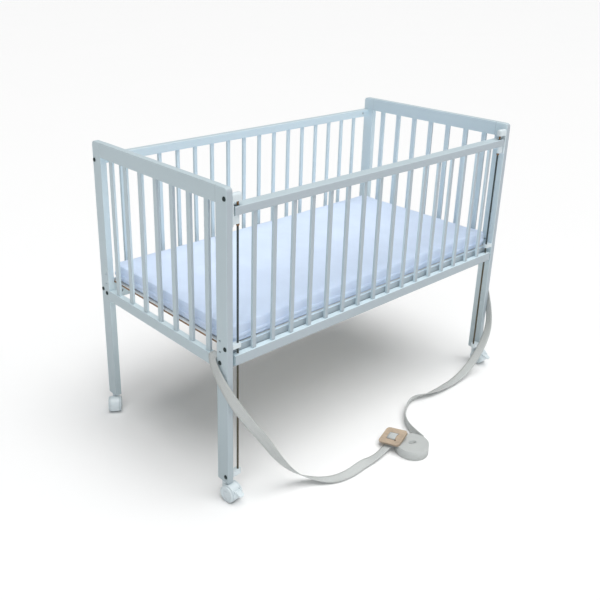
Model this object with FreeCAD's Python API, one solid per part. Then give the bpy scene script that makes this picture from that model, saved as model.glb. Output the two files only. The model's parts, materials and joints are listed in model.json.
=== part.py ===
"""Bedside cot with a drop side, on twin-wheel casters, with its anchor strap.

Frame: +X along the cot, -Y the drop side, +Z up, millimetres. The model is built about the middle of the
posts, and is moved at the end so that the origin is under the middle of the box round the cot and its casters.
"""
import FreeCAD
import Part
import math
import os

from FreeCAD import Rotation, Vector

# Overall sizes
cot_length = 1240.0
cot_width = 646.0
post_height = 866.0
caster_head = 5.0

# Posts
post_thick = 20.0
post_depth = 45.0
post_corner_radius = 12.0
post_edge_radius = 3.0

# End panels
end_top_rail_height = 45.0
end_bottom_rail_height = 33.0
end_bottom_rail_rise = 353.5
end_slat_count = 7
end_slat_width = 18.0
end_slat_gap = 38.0
joint_edge_radius = 0.8

# Long panels
long_slat_count = 16
long_rail_depth = 20.0
back_top_rail_height = 28.0
back_top_rail_drop = 72.0
bottom_rail_height = 29.0
bottom_rail_rise = 370.0
drop_top_rail_height = 24.0
drop_top_rail_depth = 36.0
drop_top_rail_drop = 76.0
drop_end_gap = 8.0
rail_edge_radius = 3.0

# Slats
slat_width = 13.0
slat_thick = 9.0
slat_tongue = 8.0
slat_edge_radius = 2.0

# Joint hardware
dowel_radius = 4.0
dowel_length = 40.0
bolt_radius = 3.0
bolt_hole_radius = 3.3
bolt_head_radius = 6.5
bolt_head_height = 2.2
bolt_socket_radius = 2.3
bolt_reach = 38.0
nut_radius = 5.0
nut_length = 14.0
nut_inset = 28.0
spare_hole_radius = 3.5
height_step = 33.0

# Drop-side guides and catches
rod_radius = 3.0
rod_from_post = 23.0
rod_from_front = 10.0
rod_clearance = 0.08
bush_radius = 5.0
bush_flange_radius = 7.5
bush_flange_thick = 1.5
rail_slot_width = 9.6
catch_width = 9.0
catch_height = 23.0
catch_gap = 0.5
catch_plate_gap = 0.6
collar_radius = 4.5
collar_height = 5.0
bracket_width = 18.0
bracket_plate_thick = 3.0
cap_nose = 11.0
guide_nose = 8.0
cap_gap = 13.0
cap_height = 21.0
guide_gap = 21.5
guide_height = 11.5
foot_rise = 15.0
foot_height = 14.0
guide_bolt_rise = 4.5
foot_bolt_rise = 4.0
bracket_bolt_reach = 14.0
bracket_bolt_radius = 2.5

# Mattress base
base_rail_thick = 20.0
base_rail_height = 62.0
base_rail_rise = 355.0
base_rail_set_in = 22.0
base_bolt_rise = 21.0
board_thick = 6.0
board_ledge = 12.0
board_end_gap = 3.0
board_side_gap = 0.5
batten_count = 3
batten_width = 40.0
batten_thick = 12.0

# Mattress
mattress_thick = 58.0
mattress_end_gap = 6.0
mattress_front_gap = 4.0
mattress_back_gap = 10.0
mattress_corner_radius = 30.0
mattress_edge_radius = 12.0

# Casters
wheel_radius = 25.0
wheel_hidden_step = 2.0
wheel_inner = 6.0
wheel_step = 15.6
wheel_outer = 21.0
wheel_edge_radius = 2.5
hub_rim = 8.0
hub_recess_depth = 1.5
axle_radius = 3.0
axle_half_length = 19.4
axle_clearance = 0.05
caster_trail = 22.0
hood_gap = 1.2
hood_thick = 2.0
hood_half_width = 15.0
web_half_width = 5.4
hood_floor_gap = 5.0
boss_radius = 9.5
boss_height = 6.0
stem_radius = 4.0
stem_clearance = 0.05
stem_rise = 40.0
stem_flange_radius = 9.0
stem_flange_thick = 1.2
stem_foot_rise = 8.0
swivel_gap = 0.4
pedal_hinge_angle = 30.0
pedal_hinge_gap = 0.4
pedal_pin_radius = 1.8
pedal_barrel_radius = 3.4
pedal_ear_radius = 4.0
pedal_half_width = 8.5
pedal_ear_thick = 3.0
pedal_ear_gap = 0.5
pedal_ear_length = 9.0
pedal_reach = 20.0
pedal_tip_fall = 7.0
pedal_thick = 4.0
caster_turns = {"fl": -85.0, "fr": -93.0, "bl": -125.0, "br": -108.0}

# Anchor strap: its solids are plain tubes with the section area of the webbing
strap_width = 30.0
strap_thick = 1.8
strap_tube_radius = 4.0
strap_loop_gap = 1.0
plate_length = 66.0
plate_width = 78.0
plate_thick = 8.0
plate_corner_radius = 11.0
plate_slot_length = 34.0
plate_slot_width = 5.0
plate_slot_pitch = 24.0
plate_centre = Vector(-63, -459, 34)
plate_turn = Rotation(10, -18, -15)
roll_centre = Vector(-34, -517, 0)
roll_radius = 52.0
roll_core_radius = 11.5

left_strap_route = [
    (-624.4, -263, 424), (-629, -286, 404), (-629.5, -314, 377), (-621, -338, 345),
    (-597, -342, 301), (-561, -345, 243), (-517, -356, 173), (-481, -371, 114),
    (-453, -386, 71), (-421, -402, 36), (-384, -417, 15), (-341, -429, 6),
    (-292, -438, 4.3), (-243, -445, 4.6), (-197, -452, 7.5), (-155, -459, 9),
    (-119, -460, 6.5), (-92, -459, 9), (-72, -459, 18), (-63, -459, 28.5),
]
right_strap_route = [
    (624.4, -263, 424), (634, -276, 375), (641, -297, 318), (644, -317, 262),
    (638, -335, 206), (619, -348, 158), (588, -356, 117), (549, -358, 79),
    (507, -353, 44), (462, -346, 17), (413, -339, 7), (365, -333, 8),
    (318, -328, 10.5), (274, -325, 13), (231, -322, 14.6), (194, -327, 15.2),
    (160, -341, 15.2), (128, -361, 15.2), (98, -380, 15.2), (69, -401, 15.2),
    (45, -432, 15.2), (30, -472, 15.2), (19.5, -516, 15.2),
]

# Places worked out from the sizes above
caster_height = 2 * wheel_radius + caster_head
wheel_hidden_radius = wheel_radius - wheel_hidden_step
hub_recess_radius = wheel_radius - hub_rim
half_length = cot_length / 2
half_width = cot_width / 2
inner_x = half_length - post_thick
post_x = half_length - post_thick / 2
post_inner_y = half_width - post_depth
post_y = half_width - post_depth / 2
post_top = caster_height + post_height
end_bottom_rail_z = caster_height + end_bottom_rail_rise
bottom_rail_z = caster_height + bottom_rail_rise
base_rail_z = caster_height + base_rail_rise
back_top_rail_z = post_top - back_top_rail_drop
drop_top_rail_z = post_top - drop_top_rail_drop
rod_x = inner_x - rod_from_post
rod_y = -half_width + rod_from_front
drop_half_length = inner_x - drop_end_gap
back_y = half_width - long_rail_depth / 2
base_y = half_width - base_rail_set_in - base_rail_thick / 2
base_bolt_z = base_rail_z + base_bolt_rise
board_top = base_rail_z + base_rail_height
cap_z = drop_top_rail_z + drop_top_rail_height + cap_gap
guide_z = bottom_rail_z + bottom_rail_height + guide_gap
foot_z = caster_height + foot_rise
axle_z = wheel_radius
stem_foot_z = axle_z + stem_foot_rise
hood_inner_radius = wheel_hidden_radius + hood_gap
hood_outer_radius = hood_inner_radius + hood_thick
pedal_hinge_distance = hood_outer_radius + pedal_barrel_radius + pedal_hinge_gap
pedal_hinge_trail = caster_trail + pedal_hinge_distance * math.cos(math.radians(pedal_hinge_angle))
pedal_hinge_z = axle_z + pedal_hinge_distance * math.sin(math.radians(pedal_hinge_angle))
pedal_tip_trail = pedal_hinge_trail + pedal_reach
pedal_tip_z = pedal_hinge_z - pedal_tip_fall
catch_z = drop_top_rail_z - catch_gap - catch_height
rod_bottom = foot_z + foot_height / 3
rod_top = cap_z + cap_height * 2 / 3

nodes = {}


def save(name, solids):
    """Keep one node from a list of solids, to be written at the end."""
    solids = [solid for shape in solids for solid in shape.Solids]
    nodes[name] = solids[0] if len(solids) == 1 else Part.makeCompound(solids)


def block(x, y, z):
    """A box from three (low, high) ranges."""
    size = [high - low for low, high in (x, y, z)]
    return Part.makeBox(*size, Vector(x[0], y[0], z[0]))


def rod(radius, start, end):
    """A round bar between two points."""
    start = Vector(*start)
    run = Vector(*end) - start
    return Part.makeCylinder(radius, run.Length, start, run)


def rounded(shape, radius, direction=None, keep=None):
    """Round the straight edges that run along one direction and pass a test on their middle."""
    edges = []
    for edge in shape.Edges:
        along = edge.tangentAt(edge.FirstParameter)
        if direction and abs(along.dot(direction)) < 0.99:
            continue
        if keep and not keep(edge.CenterOfMass):
            continue
        edges.append(edge)
    return shape.makeFillet(radius, edges)


def mirrored(shape):
    """The same shape on the other end of the cot."""
    return shape.mirror(Vector(0, 0, 0), Vector(1, 0, 0))


def cut_all(shape, tools):
    """Cut every tool that is given out of a shape."""
    return shape.cut(Part.makeCompound(tools)) if tools else shape


def spread(low, high, count):
    """Places that divide a span into equal gaps."""
    step = (high - low) / (count + 1)
    return [low + step * (index + 1) for index in range(count)]


X, Y, Z = Vector(1, 0, 0), Vector(0, 1, 0), Vector(0, 0, 1)


# Bolts and the holes they need

def bolt(y, z, reach, radius):
    """A flat-headed socket bolt through the left post, head on the outer face."""
    face = -half_length
    head = rod(bolt_head_radius, (face - bolt_head_height, y, z), (face, y, z))
    head = rounded(head, bolt_head_height * 0.45, keep=lambda point: point.x < face - 1)
    shank = rod(radius, (face, y, z), (face + post_thick + reach, y, z))
    socket = rod(bolt_socket_radius, (face - bolt_head_height, y, z), (face - 0.6, y, z))
    return head.fuse(shank).cut(socket)


def barrel_nut(y, z):
    """A cross dowel that the bolt draws against, inside the rail."""
    x = -inner_x + nut_inset
    body = rod(nut_radius, (x, y - nut_length / 2, z), (x, y + nut_length / 2, z))
    return body.cut(rod(bolt_radius, (x - nut_radius, y, z), (x + nut_radius, y, z)))


def rail_end_cuts(y, z, face_y):
    """Holes for one bolt and its barrel nut in the left end of a rail."""
    x = -inner_x + nut_inset
    bore = rod(bolt_hole_radius, (-inner_x, y, z), (-inner_x + bolt_reach + 2, y, z))
    far = y + math.copysign(nut_length / 2, y - face_y)
    cross = rod(nut_radius, (x, face_y, z), (x, far, z))
    return [bore, cross, mirrored(bore), mirrored(cross)]


back_top_bolt_z = back_top_rail_z + back_top_rail_height / 2
bottom_bolt_z = bottom_rail_z + bottom_rail_height / 2
cap_bolt_z = cap_z + cap_height / 2
guide_bolt_z = guide_z + guide_bolt_rise
foot_bolt_z = foot_z + foot_bolt_rise
bracket_bolt_zs = [cap_bolt_z, guide_bolt_z, foot_bolt_z]
rail_bolt_places = [
    (back_y, back_top_bolt_z), (back_y, bottom_bolt_z),
    (base_y, base_bolt_z), (-base_y, base_bolt_z),
]


# Posts

def dowel_places():
    """Heights of the dowels: two in a top rail, and one in a bottom rail, below the base bolt."""
    top = post_top - end_top_rail_height
    return [top + end_top_rail_height * 0.27, top + end_top_rail_height * 0.73,
            end_bottom_rail_z + end_bottom_rail_height * 0.3]


def dowel(side_y, z):
    """A wooden dowel across the joint plane at the left end."""
    y = side_y * post_inner_y
    return rod(dowel_radius, (-post_x, y - dowel_length / 2, z), (-post_x, y + dowel_length / 2, z))


def stem(x, y):
    """A caster stem with the flange that bears on the post's foot."""
    top = caster_height + stem_rise
    flange_z = caster_height - stem_flange_thick
    pin = rod(stem_radius, (x, y, stem_foot_z), (x, y, top))
    flange = rod(stem_flange_radius, (x, y, flange_z), (x, y, caster_height))
    return pin.fuse(flange)


def left_post(side_y):
    """A left-hand post: front with side_y -1, back with side_y 1."""
    ys = sorted((side_y * post_inner_y, side_y * half_width))
    shape = block((-half_length, -inner_x), ys, (caster_height, post_top))
    outer = side_y * half_width
    shape = rounded(shape, post_corner_radius, X,
                    lambda point: abs(point.y - outer) < 1 and point.z > post_top - 1)
    shape = rounded(shape, post_edge_radius, Z, lambda point: abs(point.y - outer) < 1)
    through = (-half_length, -inner_x)
    holes = [rod(spare_hole_radius, (through[0], side_y * base_y, base_bolt_z + height_step * step),
                 (through[1], side_y * base_y, base_bolt_z + height_step * step)) for step in (1, 2)]
    for y, z in rail_bolt_places:
        if y * side_y > 0:
            holes.append(rod(bolt_radius, (through[0], y, z), (through[1], y, z)))
    if side_y < 0:
        holes += [rod(bracket_bolt_radius, (through[0], rod_y, z), (through[1], rod_y, z))
                  for z in bracket_bolt_zs]
    holes += [dowel(side_y, z) for z in dowel_places()]
    holes.append(stem(-post_x, side_y * post_y))
    return cut_all(shape, holes)


for side_name, side in (("front", -1), ("back", 1)):
    post = left_post(side)
    save("post_%s_left" % side_name, [post])
    save("post_%s_right" % side_name, [mirrored(post)])

stems = [stem(sx * post_x, sy * post_y) for sx in (-1, 1) for sy in (-1, 1)]
save("caster_stems", stems)

dowels = [dowel(side, z) for side in (-1, 1) for z in dowel_places()]
save("end_rail_dowels", dowels + [mirrored(pin) for pin in dowels])


# End panels

def slat(x, y, low, high, along_x):
    """A slat whose tongues sit in mortises of the rails below and above."""
    half = (slat_width / 2, slat_thick / 2) if along_x else (slat_thick / 2, end_slat_width / 2)
    shape = block((x - half[0], x + half[0]), (y - half[1], y + half[1]),
                  (low - slat_tongue, high + slat_tongue))
    return rounded(shape, slat_edge_radius, Z)


end_slat_top = post_top - end_top_rail_height
end_slat_y = post_inner_y - end_slat_gap - end_slat_width / 2
end_slat_pitch = 2 * end_slat_y / (end_slat_count - 1)
end_slats = [slat(-post_x, end_slat_pitch * place - end_slat_y,
                  end_bottom_rail_z + end_bottom_rail_height, end_slat_top, False)
             for place in range(end_slat_count)]


def end_rail(low, high, rounded_top):
    """A rail between the two left-hand posts, with its mortises and dowel holes."""
    shape = block((-half_length, -inner_x), (-post_inner_y, post_inner_y), (low, high))
    shape = rounded(shape, joint_edge_radius, Z)
    if rounded_top:
        shape = rounded(shape, rail_edge_radius / 2, Y, lambda point: point.z > high - 1)
    return cut_all(shape, end_slats + dowels)


end_rails = {
    "end_top_rail": end_rail(end_slat_top, post_top, True),
    "end_bottom_rail": end_rail(end_bottom_rail_z, end_bottom_rail_z + end_bottom_rail_height, True),
}
for name, shape in end_rails.items():
    save(name + "_left", [shape])
    save(name + "_right", [mirrored(shape)])
save("end_slats_left", end_slats)
save("end_slats_right", [mirrored(shape) for shape in end_slats])


# Back panel

bottom_rail_top = bottom_rail_z + bottom_rail_height
back_slats = [slat(x, back_y, bottom_rail_top, back_top_rail_z, True)
              for x in spread(-inner_x, inner_x, long_slat_count)]


def back_rail(low, high, bolt_z):
    """A back rail butted between the posts, flush with their outer faces."""
    inner_face = back_y - long_rail_depth / 2
    shape = block((-inner_x, inner_x), (inner_face, half_width), (low, high))
    shape = rounded(shape, rail_edge_radius, X)
    return cut_all(shape, back_slats + rail_end_cuts(back_y, bolt_z, inner_face))


save("back_top_rail", [back_rail(back_top_rail_z, back_top_rail_z + back_top_rail_height,
                                 back_top_bolt_z)])
save("back_bottom_rail", [back_rail(bottom_rail_z, bottom_rail_top, bottom_bolt_z)])
save("back_slats", back_slats)


# Drop side

drop_slats = [slat(x, rod_y, bottom_rail_top, drop_top_rail_z, True)
              for x in spread(-drop_half_length, drop_half_length, long_slat_count)]


def drop_rail(low, high, depth, radius):
    """A rail of the drop side, its front flush with the posts."""
    shape = block((-drop_half_length, drop_half_length), (-half_width, -half_width + depth), (low, high))
    return rounded(shape, radius, X)


def rod_slot():
    """An open slot in the top rail's left end that the catch passes through when it is open."""
    half = rail_slot_width / 2
    end = -rod_x + half
    low = drop_top_rail_z - 1
    high = drop_top_rail_z + drop_top_rail_height + 1
    channel = block((-drop_half_length - 1, end - half), (rod_y - half, rod_y + half), (low, high))
    return channel.fuse(rod(half, (end - half, rod_y, low), (end - half, rod_y, high)))


def rod_bush(x):
    """A flanged plastic bush in the bottom rail, running on the rod."""
    body = rod(bush_radius, (x, rod_y, bottom_rail_z), (x, rod_y, bottom_rail_top))
    flanges = [rod(bush_flange_radius, (x, rod_y, z), (x, rod_y, z + bush_flange_thick))
               for z in (bottom_rail_top, bottom_rail_z - bush_flange_thick)]
    bore = rod(rod_radius + rod_clearance, (x, rod_y, bottom_rail_z - 5), (x, rod_y, bottom_rail_top + 5))
    return body.fuse(flanges).cut(bore)


def bush_seat(x):
    """The hole in the bottom rail for one bush."""
    return rod(bush_radius, (x, rod_y, bottom_rail_z - 1), (x, rod_y, bottom_rail_top + 1))


top_rail = drop_rail(drop_top_rail_z, drop_top_rail_z + drop_top_rail_height,
                     drop_top_rail_depth, rail_edge_radius)
slot = rod_slot()
save("drop_top_rail", [cut_all(top_rail, drop_slats + [slot, mirrored(slot)])])
bottom_rail = drop_rail(bottom_rail_z, bottom_rail_top, long_rail_depth, rail_edge_radius / 2)
save("drop_bottom_rail", [cut_all(bottom_rail, drop_slats + [bush_seat(-rod_x), bush_seat(rod_x)])])
save("drop_slats", drop_slats)
save("rod_bushes", [rod_bush(-rod_x), rod_bush(rod_x)])


# Guide rods, brackets and catches

def bracket(low, height, nose, bolt_z, closed_top):
    """A plastic block on the left front post that holds the rod."""
    front = rod_y - bracket_width / 2
    shape = block((-inner_x, -rod_x + nose), (front, front + bracket_width), (low, low + height))
    shape = rounded(shape, bracket_width * 0.4, Z, lambda point: point.x > -rod_x)
    if closed_top:
        shape = rounded(shape, height * 0.35, Y,
                        lambda point: point.x > -rod_x and point.z > low + height - 1)
    reach = rod(bracket_bolt_radius, (-inner_x, rod_y, bolt_z),
                (-inner_x + bracket_bolt_reach, rod_y, bolt_z))
    return shape.cut(reach)


def left_rod():
    """A steel guide rod with the set collar under the catch."""
    shaft = rod(rod_radius, (-rod_x, rod_y, rod_bottom), (-rod_x, rod_y, rod_top))
    collar_top = catch_z - catch_gap
    collar = rod(collar_radius, (-rod_x, rod_y, collar_top - collar_height), (-rod_x, rod_y, collar_top))
    return shaft.fuse(rounded(collar, 0.8))


def left_catch():
    """A quarter-turn catch on the rod, pointing to the post so that the side can pass."""
    half = catch_width / 2
    tip = -inner_x + bracket_plate_thick + catch_plate_gap
    top = catch_z + catch_height
    arm = block((tip, -rod_x), (rod_y - half, rod_y + half), (catch_z, top))
    nose = rod(half, (-rod_x, rod_y, catch_z), (-rod_x, rod_y, top))
    shape = arm.fuse(nose).removeSplitter()
    shape = rounded(shape, 1.5, Z, lambda point: point.x < tip + 0.1)
    bore = rod(rod_radius + rod_clearance, (-rod_x, rod_y, catch_z - 1), (-rod_x, rod_y, top + 1))
    return shape.cut(bore)


def catch_plate():
    """The thin plate of the top bracket that runs down the gap beside the rail."""
    front = rod_y - bracket_width / 2
    low = catch_z - collar_height
    plate = block((-inner_x, -inner_x + bracket_plate_thick), (front, front + bracket_width),
                  (low, cap_z))
    return rounded(plate, bracket_width * 0.25, X, lambda point: point.z < low + 1)


rod_shape = left_rod()
save("guide_rod_left", [rod_shape])
save("guide_rod_right", [mirrored(rod_shape)])
for name, low, height, nose, bolt_z in (
        ("rod_top_brackets", cap_z, cap_height, cap_nose, cap_bolt_z),
        ("rod_mid_guides", guide_z, guide_height, guide_nose, guide_bolt_z),
        ("rod_foot_brackets", foot_z, foot_height, guide_nose, foot_bolt_z)):
    closed = low == cap_z
    shape = bracket(low, height, nose, bolt_z, closed)
    if closed:
        shape = shape.fuse(catch_plate()).removeSplitter()
    shape = shape.cut(rod_shape)
    save(name, [shape, mirrored(shape)])
catch = left_catch()
save("catch_left", [catch])
save("catch_right", [mirrored(catch)])


# Mattress base and mattress

def base_rail(side_y):
    """A side rail of the mattress base, with a ledge for the board."""
    ys = sorted((side_y * (base_y - base_rail_thick / 2), side_y * (base_y + base_rail_thick / 2)))
    shape = block((-inner_x, inner_x), ys, (base_rail_z, board_top))
    inner = side_y * (base_y - base_rail_thick / 2)
    ledge_ys = sorted((inner, inner + side_y * board_ledge))
    ledge = block((-inner_x, inner_x), ledge_ys, (board_top - board_thick, board_top))
    return cut_all(shape, [ledge] + rail_end_cuts(side_y * base_y, base_bolt_z, inner))


board_half_y = base_y - base_rail_thick / 2 + board_ledge - board_side_gap
board = block((-inner_x + board_end_gap, inner_x - board_end_gap), (-board_half_y, board_half_y),
              (board_top - board_thick, board_top))
batten_half_y = base_y - base_rail_thick / 2
battens = [block((x - batten_width / 2, x + batten_width / 2), (-batten_half_y, batten_half_y),
                 (board_top - board_thick - batten_thick, board_top - board_thick))
           for x in spread(-inner_x, inner_x, batten_count)]
save("base_rail_front", [base_rail(-1)])
save("base_rail_back", [base_rail(1)])
save("mattress_board", [board])
save("base_battens", battens)

mattress = block((-inner_x + mattress_end_gap, inner_x - mattress_end_gap),
                 (-half_width + long_rail_depth + mattress_front_gap,
                  half_width - long_rail_depth - mattress_back_gap),
                 (board_top, board_top + mattress_thick))
mattress = rounded(mattress, mattress_corner_radius, Z)
mattress = rounded(mattress, mattress_edge_radius, None,
                   lambda point: point.z > board_top + mattress_thick - 1)
save("mattress", [mattress])

rail_bolts = [bolt(y, z, bolt_reach, bolt_radius) for y, z in rail_bolt_places]
rail_nuts = [barrel_nut(y, z) for y, z in rail_bolt_places]
bracket_bolts = [bolt(rod_y, z, bracket_bolt_reach, bracket_bolt_radius) for z in bracket_bolt_zs]
save("frame_bolts", rail_bolts + [mirrored(shape) for shape in rail_bolts])
save("barrel_nuts", rail_nuts + [mirrored(shape) for shape in rail_nuts])
save("bracket_bolts", bracket_bolts + [mirrored(shape) for shape in bracket_bolts])


# Casters, built with the trail along +X and the stem on the Z axis

def across(radius, half_low, half_high, x=caster_trail, z=axle_z):
    """A round bar parallel to the axle between two widths."""
    return rod(radius, (x, half_low, z), (x, half_high, z))


def wheel(side):
    """One wheel: a wide tread flange outside and a smaller body under the hood."""
    outer = across(wheel_radius, side * wheel_step, side * wheel_outer)
    outer = rounded(outer, wheel_edge_radius, keep=lambda point: abs(point.y) > wheel_step + 1)
    inner = across(wheel_hidden_radius, side * wheel_inner, side * wheel_step)
    face = side * (wheel_outer - hub_recess_depth)
    recess = across(hub_recess_radius, face, side * (wheel_outer + 1))
    boss = across(hub_recess_radius * 0.45, face, side * wheel_outer)
    bore = across(axle_radius + axle_clearance, 0, side * (axle_half_length + 0.2))
    return outer.fuse(inner).cut(recess).fuse(boss).cut(bore)


def hood(braked):
    """The swivelling housing: centre web, arched cover, and the boss that turns on the stem."""
    cover = across(hood_outer_radius, -hood_half_width, hood_half_width)
    cover = rounded(cover, hood_thick * 0.6)
    cover = cover.cut(across(hood_inner_radius, -hood_half_width, hood_half_width))
    web = across(hood_inner_radius + hood_thick / 2, -web_half_width, web_half_width)
    boss_top = caster_height - stem_flange_thick - swivel_gap
    neck = block((-boss_radius, boss_radius), (-web_half_width, web_half_width),
                 (stem_foot_z - 4, boss_top))
    cap = rod(boss_radius, (0, 0, boss_top - boss_height), (0, 0, boss_top))
    shape = cover.fuse([web, neck, cap])
    if braked:
        for side in (-1, 1):
            shape = shape.fuse(pedal_ear(side))
    low = block((-60, 120), (-40, 40), (-20, hood_floor_gap))
    bore = rod(stem_radius + stem_clearance, (0, 0, stem_foot_z - 1), (0, 0, boss_top + 1))
    shape = shape.cut(Part.makeCompound([low, bore, across(axle_radius, -30, 30)]))
    if braked:
        pin = across(pedal_pin_radius + axle_clearance, -30, 30, pedal_hinge_trail, pedal_hinge_z)
        shape = shape.cut(pin)
    return shape


def pedal_ear(side):
    """One ear on the hood that carries the pedal's pin."""
    low = side * (pedal_half_width + pedal_ear_gap)
    high = low + side * pedal_ear_thick
    root = pedal_hinge_trail - pedal_ear_length
    eye = across(pedal_ear_radius, low, high, pedal_hinge_trail, pedal_hinge_z)
    foot = across(pedal_ear_radius, low, high, root, pedal_hinge_z)
    arm = block((root, pedal_hinge_trail), sorted((low, high)),
                (pedal_hinge_z - pedal_ear_radius, pedal_hinge_z + pedal_ear_radius))
    return eye.fuse([foot, arm]).cut(across(hood_inner_radius, -30, 30))


def pedal():
    """The brake pedal with the pin that turns in the ears."""
    half = pedal_half_width
    slope = math.degrees(math.atan2(pedal_tip_z - pedal_hinge_z, pedal_tip_trail - pedal_hinge_trail))
    length = math.hypot(pedal_tip_trail - pedal_hinge_trail, pedal_tip_z - pedal_hinge_z)
    blade = block((0, length), (-half, half), (-pedal_thick / 2, pedal_thick / 2))
    blade = rounded(blade, half * 0.8, Z, lambda point: point.x > length - 1)
    blade.rotate(Vector(0, 0, 0), Vector(0, 1, 0), -slope)
    blade.translate(Vector(pedal_hinge_trail, 0, pedal_hinge_z))
    barrel = across(pedal_barrel_radius, -half, half, pedal_hinge_trail, pedal_hinge_z)
    reach = half + pedal_ear_gap + pedal_ear_thick
    pin = across(pedal_pin_radius, -reach, reach, pedal_hinge_trail, pedal_hinge_z)
    return blade.fuse([barrel, pin])


def placed(shape, corner):
    """Turn a caster piece to its swivel angle and move it under its post."""
    side_x = -1 if corner[1] == "l" else 1
    side_y = -1 if corner[0] == "f" else 1
    shape = shape.copy()
    shape.rotate(Vector(0, 0, 0), Z, caster_turns[corner])
    shape.translate(Vector(side_x * post_x, side_y * post_y, 0))
    return shape


axle = across(axle_radius, -axle_half_length, axle_half_length)
for corner in caster_turns:
    braked = corner[0] == "f"
    save("caster_hood_" + corner, [placed(hood(braked), corner)])
    save("caster_axle_" + corner, [placed(axle, corner)])
    save("caster_wheel_a_" + corner, [placed(wheel(-1), corner)])
    save("caster_wheel_b_" + corner, [placed(wheel(1), corner)])
    if braked:
        save("brake_pedal_" + corner, [placed(pedal(), corner)])


# Anchor strap

def strap_tube(route, name):
    """A plain tube along straight runs joined by the largest tangent arcs that fit."""
    points = [Vector(*point) for point in route]
    runs = [(after - before).Length for before, after in zip(points, points[1:])]
    edges = []
    start = points[0]
    radii = []
    for index in range(1, len(points) - 1):
        corner = points[index]
        back = (points[index - 1] - corner).normalize()
        ahead = (points[index + 1] - corner).normalize()
        turn = math.pi - back.getAngle(ahead)
        setback = 0.45 * min(runs[index - 1], runs[index])
        radius = setback / math.tan(turn / 2)
        radii.append(radius)
        middle = (back + ahead).normalize()
        into = corner + back * setback
        out = corner + ahead * setback
        apex = corner + middle * (math.hypot(radius, setback) - radius)
        edges.append(Part.LineSegment(start, into).toShape())
        edges.append(Part.Arc(into, apex, out).toShape())
        start = out
    edges.append(Part.LineSegment(start, points[-1]).toShape())
    path = Part.Wire(edges)
    section = Part.Wire([Part.makeCircle(strap_tube_radius, points[0], points[1] - points[0])])
    tube = path.makePipeShell([section], True, False)
    expected = math.pi * strap_tube_radius ** 2 * path.Length
    print(name, "length", round(path.Length), "runs", round(min(runs)), "to", round(max(runs)),
          "radii", round(min(radii)), "to", round(max(radii)),
          "volume/section x length", round(tube.Volume / expected, 4))
    return tube


def strap_loop():
    """The webbing loop round the left end's bottom rail, beside the front post."""
    front = -post_inner_y + strap_loop_gap
    ys = (front, front + strap_width)
    xs = (-half_length - strap_thick, -inner_x + strap_thick)
    zs = (end_bottom_rail_z - strap_thick, end_bottom_rail_z + end_bottom_rail_height + strap_thick)
    band = rounded(block(xs, ys, zs), strap_thick * 0.9, Y)
    return band.cut(block((-half_length, -inner_x), ys, (zs[0] + strap_thick, zs[1] - strap_thick)))


def anchor_plate():
    """The wooden plate with two slots that the strap is threaded through."""
    shape = block((-plate_length / 2, plate_length / 2), (-plate_width / 2, plate_width / 2),
                  (-plate_thick / 2, plate_thick / 2))
    shape = rounded(shape, plate_corner_radius, Z)
    for side in (-1, 1):
        x = side * plate_slot_pitch / 2
        cutter = block((x - plate_slot_width / 2, x + plate_slot_width / 2),
                       (-plate_slot_length / 2, plate_slot_length / 2), (-plate_thick, plate_thick))
        shape = shape.cut(rounded(cutter, plate_slot_width * 0.49, Z))
    shape = rounded(shape, 1.2, None, lambda point: abs(point.x) > plate_slot_pitch
                    or abs(point.y) > plate_slot_length * 0.6)
    shape.Placement = FreeCAD.Placement(plate_centre, plate_turn)
    return shape


roll_top = roll_centre + Vector(0, 0, strap_width)
roll = rod(roll_radius, roll_centre, roll_top).cut(rod(roll_core_radius, roll_centre, roll_top))
loop = strap_loop()
save("strap_loops", [loop, mirrored(loop)])
save("strap_left", [strap_tube(left_strap_route, "left strap")])
save("strap_right", [strap_tube(right_strap_route, "right strap")])
save("strap_roll", [roll])
save("anchor_plate", [anchor_plate()])


# Writing: the strap, its roll and its plate lie loose, so they don't count in the middle of the box

loose = ["strap_left", "strap_right", "strap_roll", "anchor_plate"]
box = FreeCAD.BoundBox()
for name, shape in nodes.items():
    if name not in loose:
        box.add(shape.optimalBoundingBox(True, False))
shift = Vector(round(-box.Center.x, 1), round(-box.Center.y, 1), 0)
print("origin moved by", shift.x, shift.y)
os.makedirs("parts", exist_ok=True)
for name, shape in nodes.items():
    moved = shape.copy()
    moved.translate(shift)
    moved.exportStep("parts/%s.step" % name)
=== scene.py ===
"""Bedside cot: finishes, mattress, casters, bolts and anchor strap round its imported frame."""
import json
import math

import bmesh
import bpy
from mathutils import Matrix, Vector, noise
from mathutils.bvhtree import BVHTree


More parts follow.
